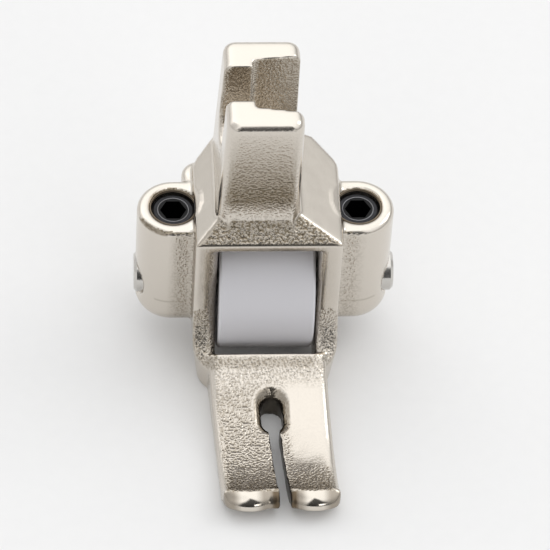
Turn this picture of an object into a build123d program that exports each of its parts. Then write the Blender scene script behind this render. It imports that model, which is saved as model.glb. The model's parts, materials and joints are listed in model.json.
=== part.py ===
from build123d import *
from math import atan2, copysign, cos, degrees, radians, sin, sqrt, tan
import os

# Roller presser foot for an industrial sewing machine, in millimetres.
# The origin is where the needle's axis meets the plane of the sole. X points to the right as the
# operator sees it, Y points away from the operator and Z points up.

# Roller and its axle
ROLLER_D = 17.0
ROLLER_LEN = 10.5
ROLLER_CHAMFER = 0.25
AXLE_D = 4.5
AXLE_CHAMFER = 0.3
AXLE_PROUD_LEFT = 0.15
AXLE_PROUD_RIGHT = 0.45
BORE_MOUTH = 0.4
BORE_MOUTH_DEPTH = 1.0
RUNNING_CLEAR = 0.05
SEAT_CLEAR = 0.02

# Where the roller bay lies from the needle
NEEDLE_TO_AXLE = 15.3
BAY_SHIFT = -0.5

# Side plates and hood over the roller
SIDE_GAP = 0.25
PLATE_T = 2.5
FACE_AHEAD = 6.5
FACE_LOW = 2.3
ROOF_CLEAR = 2.1
EAVE_T = 1.0
SHOULDER_RISE = 3.0
HOOD_RUN = 1.9
REAR_CHAMFER = 2.8
REAR_CORNER_R = 2.0
PLATE_REAR_DROP = 6.0
PLATE_BELOW_AXLE = 6.5
FOOT_TURN_AHEAD = 1.2
FOOT_LAND = 1.45
FOOT_BITE = 1.0
FOOT_TUCK = 7.0
FOOT_TUCK_H = 5.0
SWEEP_DROP = 1.0
WINDOW_EDGE_R_LEFT = 1.2
WINDOW_EDGE_R_RIGHT = 0.6

# Lugs that carry the axle
LUG_R = 3.95
LUG_OUT = 2.1
LUG_SHIFT = -0.15
LUG_RISE = 10.9
LUG_BELOW = 5.0
LUG_TOP_CHAMFER = 0.45
LUG_BOTTOM_R = 2.6

# Forked shank
SHANK_W = 8.25
SHANK_DEPTH = 13.05
SHANK_SHIFT = -1.0
SHANK_H = 13.9
SHANK_FLARE_LEFT = 0.6
SHANK_FLARE_RIGHT = 0.1
SHANK_CORNER_R = 1.3
SHANK_TOP_R = 1.0
SHANK_ROOT_R = 4.8
FRONT_PRONG_T = 4.0
SLOT_W = 4.9
SLOT_DEPTH = 9.0
POCKET_LEN = 5.2
POCKET_STEP_FRONT = 0.85
POCKET_STEP_REAR = 1.05
POCKET_DRAFT_FRONT = 8.0
POCKET_DRAFT_REAR = 5.5
POCKET_DEPTH = 12.4
POCKET_CORNER_R = 0.5

# Pad left on the casting at the left rear
PAD_R = 1.9
PAD_BACK = 5.0
PAD_IN = 0.7
PAD_H = 9.0
PAD_CHAMFER = 0.5

# Toe
TOE_LAP = 1.0
TOE_W_TIP = 12.7
TOE_SKEW = 2.9
TOE_REAR_Y = 5.75
TOE_REAR_H = 5.7
TOE_LOW_Y = -6.2
TOE_LOW_H = 2.2
TOE_CREASE_Y = -11.45
TOE_CREASE_H = 3.3
TOE_TIP_Y = -13.15
TOE_TIP_H = 1.65
TOE_NOSE_BULGE = 0.46
SOLE_FRONT_Y = -8.0
SOLE_REAR_Y = 8.0
TOE_ROLLER_GAP = 1.9
TOE_EDGE_R = 0.9
TOE_CORNER_R = 1.7
TOE_CORNER_BITE = 0.06

# Needle hole and thread slot
HOLE_W = 2.4
HOLE_LEN = 4.1
HOLE_AHEAD = 0.35
HOLE_RIM = 0.7
THREAD_SLOT_W = 1.2
THREAD_SLOT_SKEW = 1.5

# Set screws that clamp the axle, M5 with a flat point
SCREW_D = 5.0
SCREW_LEN = 8.0
SCREW_CHAMFER = 0.4
SCREW_HOLE_CHAMFER = 0.25
HEX_AF = 2.5
HEX_DEPTH = 2.8

# Places that follow from the sizes
AXLE_Y = NEEDLE_TO_AXLE
AXLE_Z = ROLLER_D / 2
BAY_HALF = ROLLER_LEN / 2 + SIDE_GAP
PLATE_X = BAY_HALF + PLATE_T
TOE_HALF = BAY_HALF + TOE_LAP
LUGS_X = BAY_SHIFT + LUG_SHIFT
LUG_X = PLATE_X + LUG_OUT
LUG_END = LUG_X + LUG_R
LUG_TOP_Z = AXLE_Z + LUG_RISE
FACE_Y = AXLE_Y - FACE_AHEAD
WINDOW_Z = AXLE_Z + ROLLER_D / 2 + ROOF_CLEAR
EAVE_Z = WINDOW_Z + EAVE_T
ROOF_Z = EAVE_Z + SHOULDER_RISE
SHANK_X = BAY_SHIFT + SHANK_SHIFT
SHANK_FRONT_Y = FACE_Y + HOOD_RUN
SHANK_REAR_Y = SHANK_FRONT_Y + SHANK_DEPTH
SHANK_TOP_Z = ROOF_Z + SHANK_H
SLOT_FRONT_Y = SHANK_FRONT_Y + FRONT_PRONG_T
SLOT_Y = SLOT_FRONT_Y + SLOT_W / 2
LAND_Y = TOE_REAR_Y - FOOT_LAND
REACH = 4 * SHANK_TOP_Z


def across(profile, width, x=0.0):
    """Solid of a side view (Y, Z), as wide as given and centred on x."""
    return Pos(x, 0, 0) * extrude(Plane.YZ * profile, width / 2, both=True)


def endways(profile, x=0.0):
    """Long solid of a front view (X, Z), running along Y on both sides of the origin."""
    return Pos(x, 0, 0) * extrude(Plane.XZ * profile, REACH, both=True)


def upright(profile, z0, z1):
    """Solid of a plan view (X, Y) between two heights."""
    return Pos(0, 0, z0) * extrude(profile, z1 - z0)


def toe_top(y):
    """Height of the toe's hollow upper face behind its lowest line."""
    run, rise = TOE_REAR_Y - TOE_LOW_Y, TOE_REAR_H - TOE_LOW_H
    radius = (run**2 + rise**2) / (2 * rise)
    return TOE_LOW_H + radius - sqrt(radius**2 - (y - TOE_LOW_Y) ** 2)


def foot_x(side):
    """Where a front foot of the yoke ends from the bay's middle, sunk in the side of the turned toe."""
    turn = radians(TOE_SKEW)
    toe_x = side * TOE_HALF * cos(turn) - LAND_Y * sin(turn)
    return toe_x - BAY_SHIFT - side * FOOT_BITE


def yoke_front_view():
    """Outline from the front: upright plates, and shoulders up to the shank."""
    shank_left = SHANK_SHIFT - SHANK_W / 2 - SHANK_FLARE_LEFT + SHANK_CORNER_R
    shank_right = SHANK_SHIFT + SHANK_W / 2 - SHANK_CORNER_R
    outline = Polyline(
        (-PLATE_X, 0),
        (PLATE_X, 0),
        (PLATE_X, EAVE_Z),
        (shank_right, ROOF_Z),
        (shank_left, ROOF_Z),
        (-PLATE_X, EAVE_Z),
        close=True,
    )
    return make_face(outline)


def yoke_side_view():
    """Outline from the side: hood slope, flat face, sweep down to the toe and rounded rear."""
    face_low_z = AXLE_Z + FACE_LOW
    land_z = toe_top(LAND_Y) - SWEEP_DROP
    rear_z = ROOF_Z - PLATE_REAR_DROP
    belly_z = AXLE_Z - PLATE_BELOW_AXLE
    edges = [
        Line((SHANK_FRONT_Y + SHANK_CORNER_R, ROOF_Z), (FACE_Y, EAVE_Z)),
        Line((FACE_Y, EAVE_Z), (FACE_Y, face_low_z)),
        TangentArc((FACE_Y, face_low_z), (LAND_Y, land_z), tangent=(0, -1)),
        Line((LAND_Y, land_z), (LAND_Y, 0)),
        Line((LAND_Y, 0), (SOLE_REAR_Y, 0)),
        Line((SOLE_REAR_Y, 0), (AXLE_Y, belly_z)),
        TangentArc((SHANK_REAR_Y, rear_z), (AXLE_Y, belly_z), tangent=(0, -1)),
        Line((SHANK_REAR_Y, rear_z), (SHANK_REAR_Y, ROOF_Z)),
        Line((SHANK_REAR_Y, ROOF_Z), (SHANK_FRONT_Y + SHANK_CORNER_R, ROOF_Z)),
    ]
    return make_face(edges)


def yoke_plan_view():
    """Outline from above: bevelled rear corners, and a front that closes in on the toe."""
    left, right = foot_x(-1), foot_x(1)
    turn_y = FACE_Y - FOOT_TURN_AHEAD
    edges = [
        Line((left, LAND_Y - 1), (right, LAND_Y - 1)),
        Line((right, LAND_Y - 1), (right, LAND_Y)),
        TangentArc((PLATE_X, turn_y), (right, LAND_Y), tangent=(0, -1)),
        Line((PLATE_X, turn_y), (PLATE_X, SHANK_REAR_Y)),
        Line((PLATE_X, SHANK_REAR_Y), (-PLATE_X, SHANK_REAR_Y)),
        Line((-PLATE_X, SHANK_REAR_Y), (-PLATE_X, turn_y)),
        TangentArc((-PLATE_X, turn_y), (left, LAND_Y), tangent=(0, -1)),
        Line((left, LAND_Y), (left, LAND_Y - 1)),
    ]
    plan = make_face(edges)
    plan = chamfer(plan.vertices().group_by(Axis.Y)[-1], REAR_CHAMFER)
    return fillet(plan.vertices().group_by(Axis.Y)[-2], REAR_CORNER_R)


def yoke():
    """Side plates and hood, with the open bay for the roller and its mouth rounded off."""
    block = endways(yoke_front_view(), BAY_SHIFT) & across(yoke_side_view(), REACH)
    bay = Pos(0, WINDOW_Z - REACH / 2) * Rectangle(2 * BAY_HALF, REACH)
    block -= endways(bay, BAY_SHIFT)
    for side, radius in ((-1, WINDOW_EDGE_R_LEFT), (1, WINDOW_EDGE_R_RIGHT)):
        wall_x = BAY_SHIFT + side * BAY_HALF
        ahead = block.edges().filter_by(lambda edge: edge.bounding_box().max.Y < FACE_Y + 0.01)
        rim = ahead.filter_by(lambda edge: abs(edge.center().X - wall_x) < 0.01)
        block = fillet(rim.filter_by(lambda edge: edge.bounding_box().max.Z > AXLE_Z), radius)
    plan = yoke_plan_view()
    tucked = extrude(Pos(0, 0, FOOT_TUCK_H) * plan, FOOT_TUCK_H + 1, dir=(0, 0, -1), taper=FOOT_TUCK)
    return block & Pos(BAY_SHIFT, 0, 0) * (upright(plan, FOOT_TUCK_H, ROOF_Z + 1) + tucked)


def shank():
    """Block of the shank, flared to its root, with rounded corners and top edges."""
    base_z = WINDOW_Z + EAVE_T / 2
    half = SHANK_W / 2
    grow = (SHANK_TOP_Z - base_z) / SHANK_H
    outline = Polyline(
        (-half - grow * SHANK_FLARE_LEFT, base_z),
        (half + grow * SHANK_FLARE_RIGHT, base_z),
        (half, SHANK_TOP_Z),
        (-half, SHANK_TOP_Z),
        close=True,
    )
    front = Plane.XZ.offset(-SHANK_FRONT_Y) * make_face(outline)
    block = Pos(SHANK_X, 0, 0) * extrude(front, -SHANK_DEPTH)
    corners = block.edges().filter_by(lambda edge: abs(edge.tangent_at(0).Z) > 0.9)
    block = fillet(corners, SHANK_CORNER_R)
    return fillet(block.edges().group_by(Axis.Z)[-1], SHANK_TOP_R)


def shank_root():
    """Hollow fillet between the front prong and the slope of the hood."""
    rise = (ROOF_Z - EAVE_Z) / (HOOD_RUN + SHANK_CORNER_R)
    root_z = ROOF_Z - rise * SHANK_CORNER_R
    back = SHANK_FRONT_Y + SHANK_CORNER_R
    wedge = Polyline(
        (SHANK_FRONT_Y, SHANK_TOP_Z - SHANK_H / 2),
        (SHANK_FRONT_Y, root_z),
        (FACE_Y, EAVE_Z),
        (back, EAVE_Z),
        (back, SHANK_TOP_Z - SHANK_H / 2),
        close=True,
    )
    view = make_face(wedge)
    corner = view.vertices().sort_by_distance((SHANK_FRONT_Y, root_z))[0]
    view = fillet(corner, SHANK_ROOT_R)
    return across(view, SHANK_W - SHANK_CORNER_R, SHANK_X)


def fork_cut():
    """Room in the shank for the presser bar and its clamp screw."""
    floor_z = SHANK_TOP_Z - SLOT_DEPTH
    view = Pos(SLOT_Y, floor_z + REACH / 2) * Rectangle(SLOT_W, REACH)
    view = fillet(view.vertices().group_by(Axis.Y)[0], SLOT_W / 2 - 0.01)
    slot = across(view, SHANK_W + 2, SHANK_X)
    face_x = SHANK_X + SHANK_W / 2
    root_x = face_x - POCKET_LEN
    front = SLOT_FRONT_Y - POCKET_STEP_FRONT
    rear = SLOT_FRONT_Y + SLOT_W + POCKET_STEP_REAR
    run = POCKET_LEN + 1
    outline = Polyline(
        (root_x, front),
        (root_x, rear),
        (root_x + run, rear + run * tan(radians(POCKET_DRAFT_REAR))),
        (root_x + run, front - run * tan(radians(POCKET_DRAFT_FRONT))),
        close=True,
    )
    plan = make_face(outline)
    plan = fillet(plan.vertices().group_by(Axis.X)[0], POCKET_CORNER_R)
    pocket = upright(plan, SHANK_TOP_Z - POCKET_DEPTH, SHANK_TOP_Z + 1)
    return slot + pocket


def lug(side):
    """Round-ended lug outside a side plate, bevelled above and well rounded below."""
    x = LUGS_X + side * LUG_X
    root_x = BAY_SHIFT + side * (PLATE_X - PLATE_T / 2)
    height = LUG_RISE + LUG_BELOW
    view = Pos(AXLE_Y, LUG_TOP_Z - height / 2) * Rectangle(2 * LUG_R, height)
    view = fillet(view.vertices().group_by(Axis.Y)[0], LUG_BOTTOM_R)
    view = chamfer(view.vertices().group_by(Axis.Y)[-1], LUG_TOP_CHAMFER)
    web = across(view, abs(x - root_x), (x + root_x) / 2)
    half = view & Pos(AXLE_Y + LUG_R, LUG_TOP_Z - height / 2) * Rectangle(2 * LUG_R, 2 * height)
    end = revolve(Pos(x, 0, 0) * (Plane.YZ * half), Axis((x, AXLE_Y, 0), (0, 0, 1)))
    return web + end


def pad():
    """Small round pad on the casting behind the left lug."""
    x = BAY_SHIFT - PLATE_X + PAD_IN
    y = AXLE_Y + PAD_BACK
    root_x = BAY_SHIFT - PLATE_X + PLATE_T / 2
    plan = Pos(x, y) * Circle(PAD_R) & Pos(root_x - PAD_R, y) * Rectangle(2 * PAD_R, 2 * PAD_R)
    body = upright(plan, LUG_TOP_Z - PAD_H, LUG_TOP_Z)
    return chamfer(body.edges().group_by(Axis.Z)[-1], PAD_CHAMFER)


def toe_side_view():
    """Outline from the side: flat sole, upturned nose, hollow top and a rear that clears the roller."""
    clear_r = ROLLER_D / 2 + TOE_ROLLER_GAP
    heel_z = AXLE_Z - sqrt(clear_r**2 - (AXLE_Y - SOLE_REAR_Y) ** 2)
    edges = [
        Line((SOLE_REAR_Y, 0), (SOLE_FRONT_Y, 0)),
        TangentArc((SOLE_FRONT_Y, 0), (TOE_TIP_Y, TOE_TIP_H), tangent=(-1, 0)),
        SagittaArc((TOE_TIP_Y, TOE_TIP_H), (TOE_CREASE_Y, TOE_CREASE_H), TOE_NOSE_BULGE),
        TangentArc((TOE_LOW_Y, TOE_LOW_H), (TOE_CREASE_Y, TOE_CREASE_H), tangent=(-1, 0)),
        TangentArc((TOE_LOW_Y, TOE_LOW_H), (TOE_REAR_Y, TOE_REAR_H), tangent=(1, 0)),
        Line((TOE_REAR_Y, TOE_REAR_H), (SOLE_REAR_Y, heel_z)),
        Line((SOLE_REAR_Y, heel_z), (SOLE_REAR_Y, 0)),
    ]
    return make_face(edges)


def toe():
    """Toe ahead of the roller in its own frame, its section kept square to the rest of the foot."""
    square = Rot(0, 0, -TOE_SKEW)
    tip = TOE_TIP_Y - TOE_NOSE_BULGE
    outline = Polyline(
        (-TOE_HALF, SOLE_REAR_Y + 1),
        (-TOE_HALF, TOE_REAR_Y),
        (-TOE_W_TIP / 2, tip - 1),
        (TOE_W_TIP / 2, tip - 1),
        (TOE_HALF, TOE_REAR_Y),
        (TOE_HALF, SOLE_REAR_Y + 1),
        close=True,
    )
    plan = make_face(outline)
    block = square * across(toe_side_view(), REACH) & upright(plan, -1, TOE_REAR_H + 1)
    hollow = block.edges().filter_by(lambda edge: edge.bounding_box().min.Z > TOE_LOW_H - 0.01)
    sides = hollow.filter_by(lambda edge: edge.length > TOE_W_TIP / 3 and edge.geom_type != GeomType.LINE)
    block = fillet(sides, TOE_EDGE_R)
    front = plan & square * Pos(0, tip + REACH / 2) * Rectangle(REACH, REACH)
    inset = TOE_CORNER_R - TOE_CORNER_BITE
    for corner in front.vertices().sort_by(Axis.Y)[:2]:
        side = copysign(1, corner.X)
        waste = Pos(side * REACH / 2, -REACH / 2) * Rectangle(REACH, REACH) - Circle(TOE_CORNER_R)
        block -= upright(Pos(corner.X - side * inset, corner.Y + inset) * waste, -1, TOE_REAR_H + 1)
    return block


def needle_cut():
    """Needle hole with a bevel that follows the slope of the toe, and the thread slot to the tip."""
    rear, front = HOLE_LEN / 2 - HOLE_AHEAD, -HOLE_LEN / 2 - HOLE_AHEAD
    slope = atan2(toe_top(rear) - toe_top(front), HOLE_LEN)
    middle = Pos(0, -HOLE_AHEAD, (toe_top(rear) + toe_top(front)) / 2)
    hole = upright(Pos(0, -HOLE_AHEAD) * SlotOverall(HOLE_LEN, HOLE_W, rotation=90), -1, TOE_REAR_H + 1)
    depth = HOLE_RIM + HOLE_W / 4
    core = SlotOverall(HOLE_LEN - HOLE_W / 2, HOLE_W / 2, rotation=90)
    funnel = Pos(0, 0, -depth) * extrude(core, 2 * depth, taper=-45)
    length = -TOE_TIP_Y + TOE_NOSE_BULGE + 1
    slot = Pos(0, -length / 2) * Rectangle(THREAD_SLOT_W, length)
    slot = upright(Rot(0, 0, THREAD_SLOT_SKEW) * slot, -1, TOE_REAR_H + 1)
    return hole + middle * Rot(degrees(slope), 0, 0) * funnel + slot


def axle_rod(diameter, x0, x1):
    """Round bar along the axle's line between two places across the foot."""
    disc = Pos(AXLE_Y, AXLE_Z) * Circle(diameter / 2)
    return across(disc, x1 - x0, (x0 + x1) / 2)


def bore_mouth(side):
    """Cone that opens out the axle's bore where it comes to the surface of a lug."""
    radius = AXLE_D / 2 + SEAT_CLEAR
    cone = Cone(radius - BORE_MOUTH, radius + 2 * BORE_MOUTH, 3 * BORE_MOUTH_DEPTH)
    x = LUGS_X + side * (LUG_END - BORE_MOUTH_DEPTH / 2)
    return Pos(x, AXLE_Y, AXLE_Z) * Rot(0, side * 90, 0) * cone


def screw_hole(side):
    """Hole for a set screw down to the axle's bore, with the drill's groove in the side plate."""
    depth = LUG_TOP_Z - AXLE_Z - AXLE_D / 4
    radius = SCREW_D / 2 + SEAT_CLEAR
    drill = Pos(0, 0, -depth / 2) * Cylinder(radius, depth)
    rim = radius + SCREW_HOLE_CHAMFER
    mouth = Pos(0, 0, -SCREW_HOLE_CHAMFER / 2) * Cone(radius, rim, SCREW_HOLE_CHAMFER)
    groove = Pos(0, 0, SHANK_H / 2) * Cylinder(rim, SHANK_H)
    return Pos(LUGS_X + side * LUG_X, AXLE_Y, LUG_TOP_Z) * (drill + mouth + groove)


def foot_casting():
    """The whole casting in one piece."""
    body = yoke() + shank() + shank_root()
    body -= fork_cut()
    for side in (-1, 1):
        body += lug(side)
    body += pad()
    body += Rot(0, 0, TOE_SKEW) * (toe() - needle_cut())
    body -= axle_rod(AXLE_D + 2 * SEAT_CLEAR, LUGS_X - LUG_END - 1, LUGS_X + LUG_END + 1)
    for side in (-1, 1):
        body -= bore_mouth(side)
        body -= screw_hole(side)
    return body


def pressing_roller():
    """Plain roller with bevelled ends, bored to run on the axle."""
    left = BAY_SHIFT - ROLLER_LEN / 2
    right = BAY_SHIFT + ROLLER_LEN / 2
    body = axle_rod(ROLLER_D, left, right)
    body = chamfer(body.edges().filter_by(GeomType.CIRCLE), ROLLER_CHAMFER)
    return body - axle_rod(AXLE_D + 2 * RUNNING_CLEAR, left - 1, right + 1)


def roller_axle():
    """Pin through both lugs, standing out a little further on the right."""
    body = axle_rod(
        AXLE_D,
        LUGS_X - LUG_END - AXLE_PROUD_LEFT,
        LUGS_X + LUG_END + AXLE_PROUD_RIGHT,
    )
    return chamfer(body.edges().filter_by(GeomType.CIRCLE), AXLE_CHAMFER)


def set_screw(side):
    """Hexagon socket set screw standing on the axle."""
    radius = SCREW_D / 2
    body = Pos(0, 0, SCREW_LEN / 2) * Cylinder(radius, SCREW_LEN)
    body = chamfer(body.edges().filter_by(GeomType.CIRCLE), SCREW_CHAMFER)
    socket = RegularPolygon(HEX_AF / 2, 6, major_radius=False)
    body -= upright(socket, SCREW_LEN - HEX_DEPTH, SCREW_LEN + 1)
    seat_z = AXLE_Z + AXLE_D / 2 + SEAT_CLEAR
    return Pos(LUGS_X + side * LUG_X, AXLE_Y, seat_z) * body


parts = {
    "foot_casting": foot_casting(),
    "pressing_roller": pressing_roller(),
    "roller_axle": roller_axle(),
    "set_screw_left": set_screw(-1),
    "set_screw_right": set_screw(1),
}

os.makedirs("parts", exist_ok=True)
for name, solid in parts.items():
    export_step(solid, f"parts/{name}.step")
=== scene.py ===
import bpy
import bmesh
import json
import math
import numpy as np
from mathutils import Matrix, Vector


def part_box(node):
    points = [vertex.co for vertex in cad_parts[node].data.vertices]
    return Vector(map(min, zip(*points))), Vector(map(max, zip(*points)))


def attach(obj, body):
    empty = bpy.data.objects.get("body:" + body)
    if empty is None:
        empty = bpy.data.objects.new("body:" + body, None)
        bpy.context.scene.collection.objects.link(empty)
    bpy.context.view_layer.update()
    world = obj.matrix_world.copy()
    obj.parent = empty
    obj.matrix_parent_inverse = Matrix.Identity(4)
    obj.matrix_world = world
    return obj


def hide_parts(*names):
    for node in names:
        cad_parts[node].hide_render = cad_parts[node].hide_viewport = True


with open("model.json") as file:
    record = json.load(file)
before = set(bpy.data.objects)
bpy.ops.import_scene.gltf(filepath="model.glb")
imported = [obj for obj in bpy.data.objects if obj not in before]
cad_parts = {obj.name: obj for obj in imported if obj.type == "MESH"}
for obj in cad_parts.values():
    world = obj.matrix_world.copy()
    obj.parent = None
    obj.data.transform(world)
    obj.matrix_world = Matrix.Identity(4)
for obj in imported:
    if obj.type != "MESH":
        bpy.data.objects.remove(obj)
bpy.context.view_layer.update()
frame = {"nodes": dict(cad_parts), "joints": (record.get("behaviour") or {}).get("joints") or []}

# Sizes are in millimetres, and Blender's own unit is the metre
MM = 0.001
BODY_FOOT = "foot"

# Camera, from the edges of the casting in the photograph
IMAGE = 550
CAMERA_ELEVATION = 49.5
CAMERA_YAW = 5.5
CAMERA_ROLL = 3.8
CAMERA_DISTANCE = 480
PIXELS_PER_MM = 9.016
AXLE_PIXEL = (262.9, 270.4)
SENSOR = 36

# Frame and roof of the casting, from the axle's middle
AXLE = Vector(frame["joints"][0]["pos_m"]) / MM
FACE_Y = AXLE.y - 6.5
BAY_HALF = 5.5
PLATE_HALF = 8.0
HOOD_RISE = 3.0
EAVE_Z = AXLE.z + 11.6
ROOF_Z = EAVE_Z + HOOD_RISE
LEFT_SHOULDER_RUN = 2.3
RIGHT_SHOULDER_RUN = 4.9
SEAM_Z = 7.9
SEAM_HALF = 0.12

# Fork of the shank
PRONG_TOP_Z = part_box("foot_casting")[1].z / MM
PRONG_FRONT_Y = FACE_Y + 1.9
PRONG_FOOT_Y = PRONG_FRONT_Y + 0.6
SHANK_REAR_Y = PRONG_FRONT_Y + 13.05

# Lugs and their set screws
LUG_TOP_Z = AXLE.z + 10.9
LUGS_X = AXLE.x - 0.15
LUG_OFF = 10.1
DRILL_R = 3.2
GROOVE_RISE = 0.15
FLANK_INSET = 0.02
SCREW_HOLE_R = 2.5
SOCKET_RING_R = 1.68
SOCKET_RING_THICK = 0.06
THREAD_THICK = 0.08
THREAD_RISES = {"lower": 0.2, "upper": 0.42}

# Toe, turned about the needle's axis
TOE_TURN = 2.9
TOE_HALF = 6.5
TOE_REAR_Y = 5.75
CREASE_Y = -11.45
THREAD_SLOT_HALF = 0.6
HOLE_HALF = 1.2
HOLE_STRAIGHT = 0.85
HOLE_AHEAD = 0.35
HOLE_RIM = 0.7
NOSE_CROWN = 0.85

# Skin of the casting
WELD = 0.002
FACET = 0.216
EDGE_SMOOTHING = 6
SLOT_SMOOTHING = 1
SLOT_CRISP = 2.25
SLOT_BLEND = 1.5
PLAIN_GRAIN = 0.06
ROOT_GRAIN = 0.9
FACING = 0.3

# Finishes, in the order of the skin's materials; the last is painted shade on the walls of the slot and the
# needle hole
AS_CAST, GROUND, BUFFED, SLOT_SHADE = range(4)

# Turns of a lathe on the roller, drawn much coarser than a real feed so that they show
LATHE_PITCH = 3.14

# Studio
FLOOR = 4000
LAMP_TARGET = (0, 10, 10)

# Sockets of a Mix node that mixes colours
SHARE, FIRST, SECOND, MIXED = 0, 6, 7, 2


def linear(code):
    """Linear RGBA of an sRGB hex colour."""
    parts = [int(code[i:i + 2], 16) / 255 for i in (1, 3, 5)]
    return [c / 12.92 if c <= 0.04045 else ((c + 0.055) / 1.055) ** 2.4 for c in parts] + [1.0]


def add(tree, kind, inputs=None, **settings):
    """Adds a node, sets its properties and fills its inputs with values or with other nodes' outputs."""
    made = tree.nodes.new("ShaderNode" + kind)
    for name, value in settings.items():
        setattr(made, name, value)
    for name, value in (inputs or {}).items():
        if isinstance(value, bpy.types.NodeSocket):
            tree.links.new(value, made.inputs[name])
        else:
            made.inputs[name].default_value = value
    return made


def new_material(name):
    """Empty node material, with its tree."""
    material = bpy.data.materials.new(name)
    material.use_nodes = True
    material.node_tree.nodes.clear()
    return material, material.node_tree


def show(tree, shader):
    """Makes a shader the material's surface."""
    add(tree, "OutputMaterial", {"Surface": shader.outputs[0]})


def per_mm(size):
    """Texture scale at which a pattern repeats about once in so many millimetres."""
    return 1 / (size * MM)


# Materials

def nickel_casting():
    """Nickel-plated investment casting: warm grey metal with the mould's grain, with painted shade where
    the shade map asks and in the grain's pits.
    """
    material, tree = new_material("nickel_plated_investment_casting")
    place = add(tree, "TexCoord").outputs["Object"]
    grain = add(tree, "Attribute", attribute_name="grain").outputs["Fac"]
    shade = add(tree, "Attribute", attribute_name="shade").outputs["Fac"]
    lumps = add(tree, "TexNoise", {
        "Vector": place, "Scale": per_mm(0.24), "Detail": 0.5, "Roughness": 0.5})
    swell = add(tree, "TexNoise", {"Vector": place, "Scale": per_mm(2.4), "Detail": 1.0})
    pits = add(tree, "MapRange", {
        "Value": lumps.outputs["Fac"], "From Min": 0.36, "From Max": 0.56, "To Min": 0.28, "To Max": 0.0})
    # Painted shade in the grain's pits, deeper where the grain is coarser
    pit_shade = add(tree, "Math", {0: pits.outputs[0], 1: grain}, operation="MULTIPLY")
    dark = add(tree, "Math", {0: shade, 1: 0.75, 2: pit_shade.outputs[0]}, operation="MULTIPLY_ADD")
    # Painted shade: the shade map and the pits mix the metal towards a dark warm grey
    tint = add(tree, "Mix", {
        SHARE: dark.outputs[0], FIRST: linear("#d6cfc5"), SECOND: linear("#857a68")}, data_type="RGBA")
    depth = add(tree, "Math", {0: grain, 1: 0.08 * MM}, operation="MULTIPLY")
    soft = add(tree, "Bump", {
        "Height": swell.outputs["Fac"], "Strength": 1.0, "Distance": 0.04 * MM})
    bump = add(tree, "Bump", {
        "Height": lumps.outputs["Fac"], "Strength": 1.0, "Distance": depth.outputs[0],
        "Normal": soft.outputs[0]})
    show(tree, add(tree, "BsdfPrincipled", {
        "Base Color": tint.outputs[MIXED], "Metallic": 1.0, "Roughness": 0.2, "Normal": bump.outputs[0]}))
    return material


def ground_nickel():
    """Nickel plating over a ground face: bright, nearly a mirror, with faint waves."""
    material, tree = new_material("ground_nickel_plating")
    place = add(tree, "TexCoord").outputs["Object"]
    waves = add(tree, "TexNoise", {"Vector": place, "Scale": per_mm(1.6), "Detail": 2.0})
    bump = add(tree, "Bump", {
        "Height": waves.outputs["Fac"], "Strength": 1.0, "Distance": 0.03 * MM})
    show(tree, add(tree, "BsdfPrincipled", {
        "Base Color": linear("#dcd6cc"), "Metallic": 1.0, "Roughness": 0.16, "Normal": bump.outputs[0]}))
    return material


def polished_nickel():
    """Buffed nickel on the nose of the toe: a clear mirror with soft hollows, with painted shade in brown
    by the slot and at the ends of each half.
    """
    material, tree = new_material("buffed_nickel_plating")
    place = add(tree, "TexCoord").outputs["Object"]
    shade = add(tree, "Attribute", attribute_name="shade").outputs["Fac"]
    hollows = add(tree, "TexNoise", {"Vector": place, "Scale": per_mm(2.2), "Detail": 1.0})
    bump = add(tree, "Bump", {
        "Height": hollows.outputs["Fac"], "Strength": 1.0, "Distance": 0.08 * MM})
    # Painted shade: the shade map mixes the mirror towards dark brown
    tint = add(tree, "Mix", {
        SHARE: shade, FIRST: linear("#d8d1c6"), SECOND: linear("#6b5e4d")}, data_type="RGBA")
    matt = add(tree, "MapRange", {"Value": shade, "To Min": 0.1, "To Max": 0.3})
    show(tree, add(tree, "BsdfPrincipled", {
        "Base Color": tint.outputs[MIXED], "Metallic": 1.0, "Roughness": matt.outputs[0],
        "Normal": bump.outputs[0]}))
    return material


def slot_shade_metal():
    """Painted shade on the walls of the thread slot and the needle hole: dark, dull metal with a little
    random tone.
    """
    material, tree = new_material("slot_walls_painted_shade")
    place = add(tree, "TexCoord").outputs["Object"]
    cuts = add(tree, "TexNoise", {"Vector": place, "Scale": per_mm(0.5), "Detail": 2.0})
    tint = add(tree, "Mix", {
        SHARE: cuts.outputs["Fac"], FIRST: linear("#4a453e"), SECOND: linear("#6a645a")}, data_type="RGBA")
    show(tree, add(tree, "BsdfPrincipled", {
        "Base Color": tint.outputs[MIXED], "Metallic": 1.0, "Roughness": 0.35}))
    return material


def white_acetal():
    """Turned acetal: smooth cool white plastic with a soft sheen and faint lathe rings."""
    material, tree = new_material("turned_white_acetal")
    place = add(tree, "TexCoord").outputs["Object"]
    # A wave texture of scale 1 has 20 radians to the unit
    rings = add(tree, "TexWave", {
        "Vector": place, "Scale": per_mm(LATHE_PITCH) * math.tau / 20, "Distortion": 0.4},
        bands_direction="X")
    bump = add(tree, "Bump", {
        "Height": rings.outputs["Fac"], "Strength": 1.0, "Distance": 0.002 * MM})
    show(tree, add(tree, "BsdfPrincipled", {
        "Base Color": linear("#d2d1d5"), "Roughness": 0.38, "IOR": 1.48, "Normal": bump.outputs[0]}))
    return material


def bright_steel():
    """Ground steel pin: a neutral mirror, clouded here and there by handling."""
    material, tree = new_material("ground_steel_pin")
    place = add(tree, "TexCoord").outputs["Object"]
    marks = add(tree, "TexNoise", {"Vector": place, "Scale": per_mm(0.8), "Detail": 4.0})
    matt = add(tree, "MapRange", {"Value": marks.outputs["Fac"], "To Min": 0.08, "To Max": 0.26})
    show(tree, add(tree, "BsdfPrincipled", {
        "Base Color": linear("#cbc8c3"), "Metallic": 1.0, "Roughness": matt.outputs[0]}))
    return material


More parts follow.
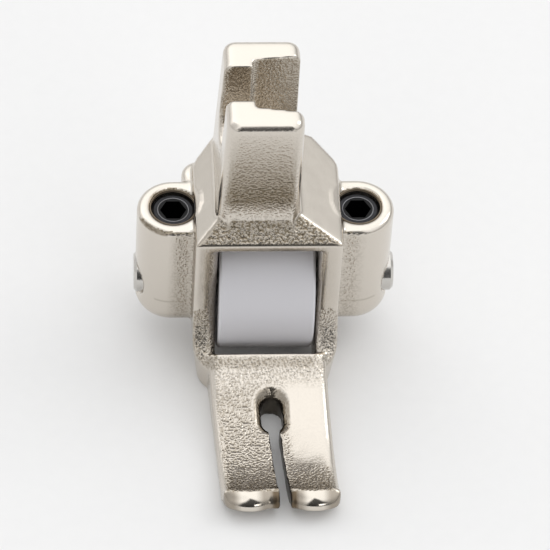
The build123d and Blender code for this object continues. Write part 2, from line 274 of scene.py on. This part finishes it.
def black_oxide(screw):
    """Black oxide on alloy steel: a dark satin skin, a little worn to grey outside the socket's edge."""
    material, tree = new_material("black_oxide_steel")
    place = add(tree, "TexCoord").outputs["Object"]
    low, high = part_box(screw)
    centre = add(tree, "VectorMath", {0: place, 1: (low + high) / 2}, operation="SUBTRACT")
    level = add(tree, "VectorMath", {0: centre.outputs[0], 1: (1, 1, 0)}, operation="MULTIPLY")
    radius = add(tree, "VectorMath", {0: level.outputs[0]}, operation="LENGTH")
    outer = add(tree, "MapRange", {
        "Value": radius.outputs["Value"],
        "From Min": (SOCKET_RING_R - 0.1) * MM, "From Max": (SOCKET_RING_R + 0.1) * MM})
    wear = add(tree, "TexNoise", {"Vector": place, "Scale": per_mm(0.6), "Detail": 3.0})
    worn = add(tree, "Math", {0: wear.outputs["Fac"], 1: outer.outputs[0]}, operation="MULTIPLY")
    tint = add(tree, "Mix", {
        SHARE: worn.outputs[0], FIRST: linear("#070708"), SECOND: linear("#3c3c40")}, data_type="RGBA")
    matt = add(tree, "MapRange", {"Value": wear.outputs["Fac"], "To Min": 0.28, "To Max": 0.45})
    show(tree, add(tree, "BsdfPrincipled", {
        "Base Color": tint.outputs[MIXED], "Metallic": 0.6, "Roughness": matt.outputs[0]}))
    return material


def socket_glint_steel():
    """Light grey steel for a thin line round the socket: a painted highlight of the socket's edge."""
    material, tree = new_material("socket_edge_painted_highlight")
    show(tree, add(tree, "BsdfPrincipled", {
        "Base Color": linear("#8d8d90"), "Metallic": 1.0, "Roughness": 0.4}))
    return material


def brown_thread():
    """Plated thread in brown-grey: a line round the hole."""
    material, tree = new_material("brown_plated_thread")
    show(tree, add(tree, "BsdfPrincipled", {
        "Base Color": linear("#7a6f61"), "Metallic": 1.0, "Roughness": 0.35}))
    return material


def white_paper():
    """Matt white paper: an even pale ground that keeps a soft shadow."""
    material, tree = new_material("matt_white_paper")
    place = add(tree, "TexCoord").outputs["Object"]
    fibres = add(tree, "TexNoise", {"Vector": place, "Scale": per_mm(1.5), "Detail": 3.0})
    tint = add(tree, "Mix", {
        SHARE: fibres.outputs["Fac"], FIRST: linear("#e5e5e5"), SECOND: linear("#e8e8e8")},
        data_type="RGBA")
    show(tree, add(tree, "BsdfDiffuse", {"Color": tint.outputs[MIXED]}))
    return material


# Measures on the mesh

def read(items, name):
    """An attribute of all vertices or faces as rows of three."""
    values = np.zeros(len(items) * 3)
    items.foreach_get(name, values)
    return values.reshape(-1, 3)


def ramp(value, start, end, least=0):
    """Straight rise from 0 at the start to 1 at the end, and never under the least."""
    return np.clip((value - start) / (end - start), least, 1)


def off_slot(points):
    """Distance to the right of the turned toe's middle line."""
    turn = math.radians(TOE_TURN)
    return points[:, 0] * math.cos(turn) + points[:, 1] * math.sin(turn)


class Spots:
    """Places and directions of all vertices or faces of the casting."""

    def __init__(self, items, place):
        points = read(items, place) / MM
        self.x, self.y, self.z = points.T
        self.nx, self.ny, self.nz = read(items, "normal").T
        self.upward = self.nz > FACING
        self.frontward = self.ny < -FACING
        self.across = off_slot(points)
        self.off_axle = self.x - AXLE.x
        self.past_plate = abs(self.off_axle) - PLATE_HALF
        past_straight = np.maximum(abs(self.y + HOLE_AHEAD) - HOLE_STRAIGHT, 0)
        self.past_rim = np.hypot(self.across, past_straight) - HOLE_HALF - HOLE_RIM


# Shape of the casting's skin

def remade(mesh, name, kind, **settings):
    """The mesh after one modifier, as a new mesh."""
    shown = bpy.data.objects.new(name, mesh)
    bpy.context.scene.collection.objects.link(shown)
    change = shown.modifiers.new(name, kind)
    for setting, value in settings.items():
        setattr(change, setting, value)
    seen = shown.evaluated_get(bpy.context.evaluated_depsgraph_get())
    made = bpy.data.meshes.new_from_object(seen)
    bpy.data.objects.remove(shown)
    return made


def crowned_nose(points):
    """How far the buffing wheel has drawn back the ends of each half of the nose."""
    middle = (TOE_HALF + THREAD_SLOT_HALF) / 2
    off = np.clip((abs(off_slot(points)) - middle) / (TOE_HALF - middle), -0.7, 1)
    return NOSE_CROWN * off ** 2 * ramp(points[:, 1], CREASE_Y + 0.8, CREASE_Y - 0.4)


def fill_drill_grooves(points):
    """Brings the shoulders out again beside the set screws, to leave shallow grooves of the drill."""
    for way, run in ((-1, LEFT_SHOULDER_RUN), (1, RIGHT_SHOULDER_RUN)):
        x, y, z = points.T
        lean = np.clip(z - EAVE_Z, 0, HOOD_RISE) * run / HOOD_RISE
        flank = AXLE.x + way * (PLATE_HALF - lean - FLANK_INSET)
        drilled = np.hypot(x - LUGS_X - way * LUG_OFF, y - AXLE.y) < DRILL_R
        drilled &= (z > LUG_TOP_Z + GROOVE_RISE) & (way * (x - flank) < 0)
        points[drilled, 0] = flank[drilled]


def casting_skin():
    """The casting's solid remade in small even facets, so that every edge is softly rounded."""
    mesh = frame["nodes"]["foot_casting"].data.copy()
    mesh.materials.clear()
    work = bmesh.new()
    work.from_mesh(mesh)
    bmesh.ops.remove_doubles(work, verts=work.verts, dist=WELD * MM)
    work.to_mesh(mesh)
    work.free()
    mesh = remade(mesh, "even_facets", "REMESH", mode="VOXEL", voxel_size=FACET * MM)
    crisp = remade(mesh.copy(), "slot_edges", "SMOOTH", factor=0.5, iterations=SLOT_SMOOTHING)
    mesh = remade(mesh, "cast_edges", "SMOOTH", factor=0.5, iterations=EDGE_SMOOTHING)
    soft, sharp = (read(m.vertices, "co") / MM for m in (mesh, crisp))
    by_slot = ramp(abs(off_slot(soft)), SLOT_CRISP + SLOT_BLEND, SLOT_CRISP) * (soft[:, 1] < TOE_REAR_Y)
    shape = soft + (sharp - soft) * by_slot[:, None]
    shape[:, 1] += crowned_nose(shape)
    fill_drill_grooves(shape)
    shape = np.clip(shape * MM, *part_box("foot_casting"))
    mesh.vertices.foreach_set("co", shape.ravel())
    mesh.update()
    skin = bpy.data.objects.new("casting_skin", mesh)
    bpy.context.scene.collection.objects.link(skin)
    mesh.shade_smooth()
    return skin


# Zones of the casting: each says where it is, how coarse its grain is and how much shade is painted on it

def toe_top(at):
    """Grainy top of the toe, rubbed bright on its right, with painted shade on a band at its rear, on the
    unrubbed part ahead and towards its lower end.
    """
    rubbed = ramp(at.across, 0.5, 2.0) * ramp(at.y, -9, -7) * ramp(at.y, 3.6, 2.1)
    clear = ramp(abs(at.across), TOE_HALF - 0.4, TOE_HALF - 0.65, least=0.05)
    clear = clear * ramp(at.y, TOE_REAR_Y - 0.15, TOE_REAR_Y - 0.45, least=0.05)
    clear = clear * ramp(abs(at.past_rim), 0, 0.4, least=0.1)
    # Painted shade: a band near the rear, the unrubbed front part and the lower end
    band = ramp(at.y, TOE_REAR_Y - 0.3, TOE_REAR_Y - 0.6) * ramp(at.y, TOE_REAR_Y - 1.6, TOE_REAR_Y - 1.1)
    front_shade = ramp(at.y, 3.0, 1.5) * (1 - rubbed)
    lower = ramp(at.y, -7.5, -10.5)
    dull = np.minimum(0.5 * band + 0.25 * front_shade + 0.35 * lower, 0.8)
    where = (at.y < TOE_REAR_Y) & at.upward
    return where, {"grain": (1.5 - 1.4 * rubbed) * clear, "shade": dull * clear}


def needle_hole(at):
    """Hollow rim of the needle hole, with painted shade."""
    where = (at.y < TOE_REAR_Y) & at.upward & (at.past_rim < 0)
    return where, {"grain": 0.4, "shade": 0.8}


def nose(at):
    """Buffed nose, with painted shade by the slot and at both ends of each half."""
    by_slot = ramp(abs(at.across - 0.3), 2.0, 1.2) * ramp(at.z, 4.0, 3.2, least=0.2)
    ends = 0.6 * ramp(abs(abs(at.across) - 3.6), 0.8, 1.6)
    return at.y < CREASE_Y, {"shade": np.maximum(by_slot, ends)}


def bay_walls(at):
    """Rough walls of the roller's bay, with painted shade."""
    where = (abs(at.off_axle) < BAY_HALF + 0.4) & (abs(at.nx) > 0.6)
    where &= (at.y > TOE_REAR_Y) & (at.z < EAVE_Z)
    return where, {"grain": 0.9, "shade": 0.6}


def left_leg_edge(at):
    """Inner edge of the left leg, turned to the roller, with painted shade."""
    where = (at.off_axle < 0) & (at.off_axle > -BAY_HALF - 1.3) & (at.nx > 0.2)
    where &= (at.y > TOE_REAR_Y) & (at.y < FACE_Y + 3) & (at.z < EAVE_Z - 0.9)
    return where, {"grain": 1.0, "shade": 0.6}


def leg_sweeps(at):
    """Coarse hollows in which the legs sweep down into the toe, with painted shade, heavier on the left."""
    where = (abs(at.off_axle) > BAY_HALF - 0.2) & (at.z < AXLE.z + 2.3)
    where &= (at.y > TOE_REAR_Y - 1.5) & (at.y < FACE_Y + 1.0) & at.frontward & (at.nz > 0.15)
    return where, {"grain": 1.3, "shade": np.where(at.off_axle < 0, 0.5, 0.15)}


def hood(at):
    """Coarsest grain, on the hood between its smooth hips and its bright eave, with painted shade that
    fades out at the roof's edge.
    """
    where = (at.y < PRONG_FOOT_Y) & (at.z > EAVE_Z - 0.2) & (at.z < ROOF_Z + 0.6)
    where &= at.frontward & at.upward
    from_hip = at.off_axle + PLATE_HALF - (at.z - EAVE_Z)
    rough = ramp(abs(at.nx), 0.34, 0.18, least=0.02) * ramp(from_hip, 0.55, 0.75)
    rough = rough * ramp(at.z, EAVE_Z + 0.12, EAVE_Z + 0.27)
    return where, {"grain": 2.3 * rough, "shade": 0.65 * ramp(at.z, ROOF_Z + 0.2, ROOF_Z - 0.4)}


def lug_bevels(at):
    """Bevels under the front edge of the lugs' ground tops, grainy and with painted shade."""
    where = (at.z > LUG_TOP_Z - 0.55) & (at.z < LUG_TOP_Z - 0.06)
    where &= (at.nz > 0.25) & (at.nz < 0.95) & at.frontward
    where &= (at.past_plate > 0.2) & (at.off_axle < PLATE_HALF + 1.2)
    return where, {"grain": 0.8, "shade": 1.0}


def front_prong(at):
    """Front of the prong, coarser and with painted shade that deepens towards its root."""
    where = (at.y < PRONG_FOOT_Y) & (at.z > ROOF_Z) & (at.ny < -0.75)
    low = ramp(at.z, PRONG_TOP_Z - 1, PRONG_TOP_Z - 10.5)
    flat = ramp(abs(at.ny), 0.8, 0.95) * ramp(at.z, ROOF_Z + 0.7, ROOF_Z + 2.1)
    return where, {"grain": 0.25 + 0.75 * low, "shade": low * flat}


def bar_pocket(at):
    """Rough cross walls of the presser bar's pocket, with painted shade where they face the front."""
    where = (at.z > ROOF_Z + 1.0) & (at.z < PRONG_TOP_Z - 0.3) & (abs(at.ny) > 0.6)
    where &= (at.y > PRONG_FRONT_Y + 1) & (at.y < SHANK_REAR_Y - 1)
    return where, {"grain": 0.8, "shade": np.where(at.ny < 0, 0.6, 0)}


def lug_webs(at):
    """Webs that join the lugs to the side plates, grainy by the plates, with painted shade there that is
    heavier on the left.
    """
    where = (at.past_plate > 0) & (at.past_plate < 3) & (at.ny < -0.4) & (at.z < LUG_TOP_Z - 0.3)
    near = ramp(at.past_plate, 2.8, 1.6)
    return where, {"grain": PLAIN_GRAIN + near, "shade": np.where(at.off_axle < 0, 0.32, 0.08) * near}


def mould_seam(at):
    """Thin line of painted shade along the mould's seam across the fronts of the lugs, where a fine groove
    would be.
    """
    where = (at.past_plate > 0.6) & (at.past_plate < 4.2) & at.frontward
    where &= abs(at.z - SEAM_Z) < SEAM_HALF
    return where, {"shade": 0.5}


def prong_root(at):
    """Fillet between the hood and the front prong."""
    where = (at.z > ROOF_Z - 0.8) & (at.z < ROOF_Z + 1.5) & (at.y < PRONG_FOOT_Y)
    return where & at.frontward & (abs(at.nx) < FACING)


def cast_maps(mesh):
    """How coarse the cast grain is at each vertex, and how much shade is painted on it, both from 0 up."""
    at = Spots(mesh.vertices, "co")
    maps = {"grain": np.full(len(at.x), PLAIN_GRAIN), "shade": np.zeros(len(at.x))}
    for zone in (toe_top, needle_hole, nose, bay_walls, left_leg_edge, leg_sweeps, hood, lug_bevels,
                 front_prong, bar_pocket, lug_webs, mould_seam):
        where, levels = zone(at)
        for name, level in levels.items():
            maps[name] = np.where(where, level, maps[name])
    maps["grain"] = np.where(prong_root(at), np.maximum(maps["grain"], ROOT_GRAIN), maps["grain"])
    return maps


def dress_casting(skin):
    """Gives the skin its finishes: as cast, ground on the tops, buffed on the nose, and painted shade on
    the walls of the slot and the needle hole.
    """
    mesh = skin.data
    for material in (nickel_casting(), ground_nickel(), polished_nickel(), slot_shade_metal()):
        mesh.materials.append(material)
    for name, values in cast_maps(mesh).items():
        mesh.attributes.new(name, "FLOAT", "POINT").data.foreach_set("value", values)
    at = Spots(mesh.polygons, "center")
    finish = np.full(len(at.x), AS_CAST, dtype=np.int32)
    tops = (at.z > LUG_TOP_Z - 0.4) & (at.z < LUG_TOP_Z + 0.2) & (at.y < AXLE.y + 8) & (at.y > AXLE.y - 5)
    tops |= at.z > PRONG_TOP_Z - 0.4
    finish[tops & (at.nz > 0.85)] = GROUND
    finish[(at.y < CREASE_Y - 0.05) & (at.nz > -FACING)] = BUFFED
    # Painted shade: dark metal on the steep walls of the thread slot and the needle hole
    cut = (abs(at.across) < HOLE_HALF + 0.15) & (at.y < 1.9) & (at.y > CREASE_Y - 1)
    finish[cut & (abs(at.nz) < 0.5)] = SLOT_SHADE
    mesh.polygons.foreach_set("material_index", finish)
    mesh.update()


# Other pieces

def paint(node, material):
    """Gives a CAD node its material."""
    mesh = frame["nodes"][node].data
    mesh.materials.clear()
    mesh.materials.append(material)


def ring(name, middle, radius, thick, material):
    """Thin level ring of round section on the foot."""
    bpy.ops.mesh.primitive_torus_add(
        location=Vector(middle) * MM, major_radius=radius * MM, minor_radius=thick * MM,
        major_segments=64, minor_segments=10)
    made = bpy.context.object
    made.name = name
    made.data.materials.append(material)
    made.data.shade_smooth()
    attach(made, BODY_FOOT)


def dress_screw(screw, edge, thread):
    """Blackens a set screw, with a light line round its socket as a painted highlight, and two turns of
    thread above it.
    """
    paint(screw, black_oxide(screw))
    low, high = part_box(screw)
    middle = (low + high) / 2 / MM
    top = high.z / MM
    # Light ring round the socket: a painted highlight
    ring(screw + "_socket_edge", (middle.x, middle.y, top), SOCKET_RING_R, SOCKET_RING_THICK, edge)
    for turn, rise in THREAD_RISES.items():
        ring(f"{screw}_{turn}_thread", (middle.x, middle.y, top + rise), SCREW_HOLE_R, THREAD_THICK, thread)


# Studio

def paper_floor():
    """Wide sheet of white paper under the foot."""
    bpy.ops.mesh.primitive_plane_add(size=FLOOR * MM)
    floor = bpy.context.object
    floor.name = "paper_floor"
    floor.data.materials.append(white_paper())


def light_tent():
    """White tent, dark in front, brighter overhead and on the left, with a dim upper left corner."""
    world = bpy.data.worlds.new("studio")
    world.use_nodes = True
    tree = world.node_tree
    tree.nodes.clear()
    way = add(tree, "TexCoord").outputs["Generated"]
    side = add(tree, "SeparateXYZ", {0: way})
    # Dark opening in front of the foot, narrow and a little to the right
    lean = add(tree, "Math", {
        0: side.outputs["Y"], 1: 0.15, 2: side.outputs["X"]}, operation="MULTIPLY_ADD")
    wide = add(tree, "Math", {0: lean.outputs[0]}, operation="ABSOLUTE")
    upper = add(tree, "Math", {0: side.outputs["Y"], 1: side.outputs["Z"]}, operation="ADD")
    closed = add(tree, "Math", {0: wide.outputs[0], 1: 3.2, 2: upper.outputs[0]}, operation="MULTIPLY_ADD")
    tent = add(tree, "MapRange", {
        "Value": closed.outputs[0], "From Min": 0.35, "From Max": 0.65, "To Min": 0.07, "To Max": 1.0},
        interpolation_type="SMOOTHSTEP")
    # Bright overhead and on the left
    high = add(tree, "MapRange", {
        "Value": side.outputs["Z"], "From Min": 0.1, "From Max": 0.75, "To Min": 0.54, "To Max": 1.25},
        interpolation_type="SMOOTHSTEP")
    flank = add(tree, "MapRange", {
        "Value": side.outputs["X"], "From Min": -0.7, "From Max": 0.7, "To Min": 1.4, "To Max": 0.98})
    # Dim corner at the upper left
    upper_left = add(tree, "VectorMath", {0: way, 1: (-0.64, -0.25, 0.72)}, operation="DOT_PRODUCT")
    gap = add(tree, "MapRange", {
        "Value": upper_left.outputs["Value"], "From Min": 0.72, "From Max": 0.97,
        "To Min": 1.0, "To Max": 0.5}, interpolation_type="SMOOTHSTEP")
    level = tent
    for part in (high, flank, gap):
        level = add(tree, "Math", {0: level.outputs[0], 1: part.outputs[0]}, operation="MULTIPLY")
    sky = add(tree, "Background", {"Color": linear("#ffffff"), "Strength": level.outputs[0]})
    add(tree, "OutputWorld", {"Surface": sky.outputs[0]})
    bpy.context.scene.world = world


def soft_box(name, spot, size, watts):
    """Rectangular soft light at a place, turned to the foot."""
    light = bpy.data.lights.new(name, "AREA")
    light.shape = "RECTANGLE"
    light.size, light.size_y = size[0] * MM, size[1] * MM
    light.energy = watts
    lamp = bpy.data.objects.new(name, light)
    bpy.context.scene.collection.objects.link(lamp)
    lamp.location = Vector(spot) * MM
    lamp.rotation_euler = (Vector(LAMP_TARGET) - Vector(spot)).to_track_quat("-Z", "Y").to_euler()


def camera():
    """Camera at the photograph's angle, turned so that the axle's middle lies on its pixel."""
    rise, yaw, roll = (math.radians(a) for a in (CAMERA_ELEVATION, CAMERA_YAW, CAMERA_ROLL))
    right = Vector((math.cos(yaw), -math.sin(yaw), 0))
    ahead = Vector((math.sin(yaw) * math.cos(rise), math.cos(yaw) * math.cos(rise), -math.sin(rise)))
    up = right.cross(ahead)
    right, up = (right * math.cos(roll) + up * math.sin(roll), up * math.cos(roll) - right * math.sin(roll))
    focal = PIXELS_PER_MM * CAMERA_DISTANCE
    spot = (AXLE - ahead * CAMERA_DISTANCE) * MM
    aim = ahead + right * (IMAGE / 2 - AXLE_PIXEL[0]) / focal - up * (IMAGE / 2 - AXLE_PIXEL[1]) / focal
    aim.normalize()
    right = aim.cross(up).normalized()
    up = right.cross(aim)
    data = bpy.data.cameras.new("camera")
    data.sensor_width = SENSOR
    data.lens = focal / IMAGE * SENSOR
    eye = bpy.data.objects.new("camera", data)
    eye.matrix_world = Matrix.Translation(spot) @ Matrix((right, up, -aim)).transposed().to_4x4()
    bpy.context.scene.collection.objects.link(eye)
    bpy.context.scene.camera = eye


# The foot in its studio
skin = casting_skin()
dress_casting(skin)
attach(skin, BODY_FOOT)
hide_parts("foot_casting")
paint("pressing_roller", white_acetal())
paint("roller_axle", bright_steel())
# The light ring round each socket is a painted highlight of the socket's edge
edge, thread = socket_glint_steel(), brown_thread()
for screw in ("set_screw_left", "set_screw_right"):
    dress_screw(screw, edge, thread)
paper_floor()
light_tent()
soft_box("right_box", spot=(420, 160, 420), size=(260, 260), watts=0.4)
soft_box("front_lamp", spot=(181, -558, 125), size=(130, 100), watts=0.09)
camera()
bpy.context.scene.view_settings.view_transform = "Standard"
